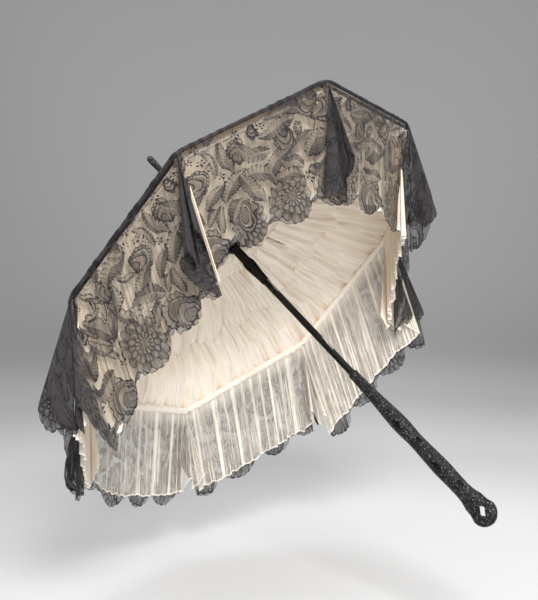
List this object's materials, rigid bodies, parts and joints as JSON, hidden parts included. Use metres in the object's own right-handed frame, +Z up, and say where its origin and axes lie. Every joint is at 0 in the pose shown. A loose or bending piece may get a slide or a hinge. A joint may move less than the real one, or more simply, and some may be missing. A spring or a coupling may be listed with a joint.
{
  "type": "parasol",
  "caption": "Folding lace carriage parasol with curved ribs, a sliding runner, gathered linings, hanging flounces and a pierced handle with a loop end.",
  "frame": {"origin": "the middle of the grip, on the axis of the shaft", "axes": "+Z up, +X the level direction that the handle points in, with the shaft 36 degrees below it, +Y across"},
  "size_m": [0.5711, 0.6462, 0.5884],
  "materials": {
    "shaft_lacquer": "black lacquer, glossy",
    "ebonised_wood": "ebonised, carved and stippled",
    "blackened_metal": "blackened, satin",
    "bright_steel": "polished",
    "cane": "brown, satin",
    "black_lace": "fine net lace, matt",
    "lace_over_silk": "black lace over cream silk",
    "cream_chiffon": "gathered silk chiffon, soft sheen"
  },
  "bodies": {
    "root": {"shaft": "shaft_lacquer", "ferrule": "ebonised_wood", "crown_notch": "blackened_metal", "crown_cap": "ebonised_wood", "stop_pin": "blackened_metal", "handle": "ebonised_wood", "handle_collar": "blackened_metal"},
    "runner": {"runner": "blackened_metal"},
    "top_spring": {"top_spring": "bright_steel"},
    "hand_spring": {"hand_spring": "bright_steel"},
    "rib_1": {"rib_1": "cane", "cover_panel_1": "lace_over_silk", "outer_lining_1": "cream_chiffon"},
    "stretcher_1": {"stretcher_1": "cane", "inner_lining_1": "cream_chiffon"},
    "flounce_1": {"flounce_1": "black_lace"},
    "rib_2": {"rib_2": "cane", "cover_panel_2": "lace_over_silk", "outer_lining_2": "cream_chiffon"},
    "stretcher_2": {"stretcher_2": "cane", "inner_lining_2": "cream_chiffon"},
    "flounce_2": {"flounce_2": "black_lace"},
    "rib_3": {"rib_3": "cane", "cover_panel_3": "lace_over_silk", "outer_lining_3": "cream_chiffon"},
    "stretcher_3": {"stretcher_3": "cane", "inner_lining_3": "cream_chiffon"},
    "flounce_3": {"flounce_3": "black_lace"},
    "rib_4": {"rib_4": "cane", "cover_panel_4": "lace_over_silk", "outer_lining_4": "cream_chiffon"},
    "stretcher_4": {"stretcher_4": "cane", "inner_lining_4": "cream_chiffon"},
    "flounce_4": {"flounce_4": "black_lace"},
    "rib_5": {"rib_5": "cane", "cover_panel_5": "lace_over_silk", "outer_lining_5": "cream_chiffon"},
    "stretcher_5": {"stretcher_5": "cane", "inner_lining_5": "cream_chiffon"},
    "flounce_5": {"flounce_5": "black_lace"},
    "rib_6": {"rib_6": "cane", "cover_panel_6": "lace_over_silk", "outer_lining_6": "cream_chiffon"},
    "stretcher_6": {"stretcher_6": "cane", "inner_lining_6": "cream_chiffon"},
    "flounce_6": {"flounce_6": "black_lace"},
    "rib_7": {"rib_7": "cane", "cover_panel_7": "lace_over_silk", "outer_lining_7": "cream_chiffon"},
    "stretcher_7": {"stretcher_7": "cane", "inner_lining_7": "cream_chiffon"},
    "flounce_7": {"flounce_7": "black_lace"},
    "rib_8": {"rib_8": "cane", "cover_panel_8": "lace_over_silk", "outer_lining_8": "cream_chiffon"},
    "stretcher_8": {"stretcher_8": "cane", "inner_lining_8": "cream_chiffon"},
    "flounce_8": {"flounce_8": "black_lace"}
  },
  "joints": [
    {"name": "runner_slide", "type": "slide", "parent": "root", "child": "runner", "axis": [0.809, 0, -0.5878], "range_m": [0, 0.16577], "deforming": ["cover_panel_1", "cover_panel_2", "cover_panel_3", "cover_panel_4", "cover_panel_5", "cover_panel_6", "cover_panel_7", "cover_panel_8", "outer_lining_1", "outer_lining_2", "outer_lining_3", "outer_lining_4", "outer_lining_5", "outer_lining_6", "outer_lining_7", "outer_lining_8", "inner_lining_1", "inner_lining_2", "inner_lining_3", "inner_lining_4", "inner_lining_5", "inner_lining_6", "inner_lining_7", "inner_lining_8", "flounce_1", "flounce_2", "flounce_3", "flounce_4", "flounce_5", "flounce_6", "flounce_7", "flounce_8"]},
    {"name": "rib_1_hinge", "type": "hinge", "parent": "root", "child": "rib_1", "pos_m": [-0.36611, -0.00081, 0.27359], "axis": [0.0767, 0.9914, 0.1056], "range_deg": [-0.5, 62.5]},
    {"name": "stretcher_1_hinge", "type": "hinge", "parent": "rib_1", "child": "stretcher_1", "pos_m": [-0.25711, -0.01674, 0.34393], "axis": [0.0767, 0.9914, 0.1056], "range_deg": [-125, 1]},
    {"name": "flounce_1_hinge", "type": "hinge", "parent": "rib_1", "child": "flounce_1", "pos_m": [-0.10963, -0.03524, 0.41053], "axis": [0.0767, 0.9914, 0.1056], "range_deg": [-119.27, 0.5]},
    {"name": "rib_2_hinge", "type": "hinge", "parent": "root", "child": "rib_2", "pos_m": [-0.36683, 0.00377, 0.2726], "axis": [-0.3578, 0.7934, -0.4925], "range_deg": [-0.5, 62.5]},
    {"name": "stretcher_2_hinge", "type": "hinge", "parent": "rib_2", "child": "stretcher_2", "pos_m": [-0.27204, 0.07805, 0.32338], "axis": [-0.3578, 0.7934, -0.4925], "range_deg": [-125, 1]},
    {"name": "flounce_2_hinge", "type": "hinge", "parent": "rib_2", "child": "flounce_2", "pos_m": [-0.14107, 0.16437, 0.36726], "axis": [-0.3578, 0.7934, -0.4925], "range_deg": [-113.02, 0.5]},
    {"name": "rib_3_hinge", "type": "hinge", "parent": "root", "child": "rib_3", "pos_m": [-0.36925, 0.00615, 0.26927], "axis": [-0.5828, 0.1305, -0.8021], "range_deg": [-0.5, 62.5]},
    {"name": "stretcher_3_hinge", "type": "hinge", "parent": "rib_3", "child": "stretcher_3", "pos_m": [-0.32199, 0.12712, 0.25463], "axis": [-0.5828, 0.1305, -0.8021], "range_deg": [-125, 1]},
    {"name": "flounce_3_hinge", "type": "hinge", "parent": "rib_3", "child": "flounce_3", "pos_m": [-0.24626, 0.26769, 0.22248], "axis": [-0.5828, 0.1305, -0.8021], "range_deg": [-75.68, 0.5]},
    {"name": "rib_4_hinge", "type": "hinge", "parent": "root", "child": "rib_4", "pos_m": [-0.37194, 0.00492, 0.26556], "axis": [-0.4663, -0.6088, -0.6418], "range_deg": [-0.5, 62.5]},
    {"name": "stretcher_4_hinge", "type": "hinge", "parent": "rib_4", "child": "stretcher_4", "pos_m": [-0.37771, 0.10172, 0.17794], "axis": [-0.4663, -0.6088, -0.6418], "range_deg": [-125, 1]},
    {"name": "flounce_4_hinge", "type": "hinge", "parent": "rib_4", "child": "flounce_4", "pos_m": [-0.36359, 0.21421, 0.06099], "axis": [-0.4663, -0.6088, -0.6418], "range_deg": [-25.54, 0.5]},
    {"name": "rib_5_hinge", "type": "hinge", "parent": "root", "child": "rib_5", "pos_m": [-0.37333, 0.00081, 0.26364], "axis": [-0.0767, -0.9914, -0.1056], "range_deg": [-0.5, 62.5]},
    {"name": "stretcher_5_hinge", "type": "hinge", "parent": "rib_5", "child": "stretcher_5", "pos_m": [-0.40655, 0.01674, 0.13825], "axis": [-0.0767, -0.9914, -0.1056], "range_deg": [-125, 1]},
    {"name": "flounce_5_hinge", "type": "hinge", "parent": "rib_5", "child": "flounce_5", "pos_m": [-0.42432, 0.03524, -0.0226], "axis": [-0.0767, -0.9914, -0.1056], "range_deg": [-11.73, 0.5]},
    {"name": "rib_6_hinge", "type": "hinge", "parent": "root", "child": "rib_6", "pos_m": [-0.37261, -0.00377, 0.26464], "axis": [0.3578, -0.7934, 0.4925], "range_deg": [-0.5, 62.5]},
    {"name": "stretcher_6_hinge", "type": "hinge", "parent": "rib_6", "child": "stretcher_6", "pos_m": [-0.39162, -0.07805, 0.15879], "axis": [0.3578, -0.7934, 0.4925], "range_deg": [-125, 1]},
    {"name": "flounce_6_hinge", "type": "hinge", "parent": "rib_6", "child": "flounce_6", "pos_m": [-0.39288, -0.16437, 0.02067], "axis": [0.3578, -0.7934, 0.4925], "range_deg": [-17.98, 0.5]},
    {"name": "rib_7_hinge", "type": "hinge", "parent": "root", "child": "rib_7", "pos_m": [-0.3702, -0.00615, 0.26796], "axis": [0.5828, -0.1305, 0.8021], "range_deg": [-0.5, 62.5]},
    {"name": "stretcher_7_hinge", "type": "hinge", "parent": "rib_7", "child": "stretcher_7", "pos_m": [-0.34166, -0.12712, 0.22755], "axis": [0.5828, -0.1305, 0.8021], "range_deg": [-125, 1]},
    {"name": "flounce_7_hinge", "type": "hinge", "parent": "rib_7", "child": "flounce_7", "pos_m": [-0.28769, -0.26769, 0.16546], "axis": [0.5828, -0.1305, 0.8021], "range_deg": [-55.32, 0.5]},
    {"name": "rib_8_hinge", "type": "hinge", "parent": "root", "child": "rib_8", "pos_m": [-0.3675, -0.00492, 0.27167], "axis": [0.4663, 0.6088, 0.6418], "range_deg": [-0.5, 62.5]},
    {"name": "stretcher_8_hinge", "type": "hinge", "parent": "rib_8", "child": "stretcher_8", "pos_m": [-0.28595, -0.10172, 0.30423], "axis": [0.4663, 0.6088, 0.6418], "range_deg": [-125, 1]},
    {"name": "flounce_8_hinge", "type": "hinge", "parent": "rib_8", "child": "flounce_8", "pos_m": [-0.17036, -0.21421, 0.32694], "axis": [0.4663, 0.6088, 0.6418], "range_deg": [-105.46, 0.5]},
    {"name": "top_spring_press", "type": "slide", "parent": "root", "child": "top_spring", "axis": [-0.5828, 0.1305, -0.8021], "range_m": [0, 0.0016], "stiffness_N_per_m": 150, "springref_m": -0.0004},
    {"name": "hand_spring_press", "type": "slide", "parent": "root", "child": "hand_spring", "axis": [-0.5828, 0.1305, -0.8021], "range_m": [0, 0.0016], "stiffness_N_per_m": 150, "springref_m": -0.0004}
  ],
  "couplings": [
    {"joint": "rib_1_hinge", "follows": "runner_slide", "rad_per_m": 6.5278},
    {"joint": "stretcher_1_hinge", "follows": "runner_slide", "rad_per_m": -13.056},
    {"joint": "flounce_1_hinge", "follows": "runner_slide", "rad_per_m": -12.504},
    {"joint": "rib_2_hinge", "follows": "runner_slide", "rad_per_m": 6.5278},
    {"joint": "stretcher_2_hinge", "follows": "runner_slide", "rad_per_m": -13.056},
    {"joint": "flounce_2_hinge", "follows": "runner_slide", "rad_per_m": -11.847},
    {"joint": "rib_3_hinge", "follows": "runner_slide", "rad_per_m": 6.5278},
    {"joint": "stretcher_3_hinge", "follows": "runner_slide", "rad_per_m": -13.056},
    {"joint": "flounce_3_hinge", "follows": "runner_slide", "rad_per_m": -7.916},
    {"joint": "rib_4_hinge", "follows": "runner_slide", "rad_per_m": 6.5278},
    {"joint": "stretcher_4_hinge", "follows": "runner_slide", "rad_per_m": -13.056},
    {"joint": "flounce_4_hinge", "follows": "runner_slide", "rad_per_m": -2.6365},
    {"joint": "rib_5_hinge", "follows": "runner_slide", "rad_per_m": 6.5278},
    {"joint": "stretcher_5_hinge", "follows": "runner_slide", "rad_per_m": -13.056},
    {"joint": "flounce_5_hinge", "follows": "runner_slide", "rad_per_m": -1.1828},
    {"joint": "rib_6_hinge", "follows": "runner_slide", "rad_per_m": 6.5278},
    {"joint": "stretcher_6_hinge", "follows": "runner_slide", "rad_per_m": -13.056},
    {"joint": "flounce_6_hinge", "follows": "runner_slide", "rad_per_m": -1.8407},
    {"joint": "rib_7_hinge", "follows": "runner_slide", "rad_per_m": 6.5278},
    {"joint": "stretcher_7_hinge", "follows": "runner_slide", "rad_per_m": -13.056},
    {"joint": "flounce_7_hinge", "follows": "runner_slide", "rad_per_m": -5.7713},
    {"joint": "rib_8_hinge", "follows": "runner_slide", "rad_per_m": 6.5278},
    {"joint": "stretcher_8_hinge", "follows": "runner_slide", "rad_per_m": -13.056},
    {"joint": "flounce_8_hinge", "follows": "runner_slide", "rad_per_m": -11.051}
  ]
}
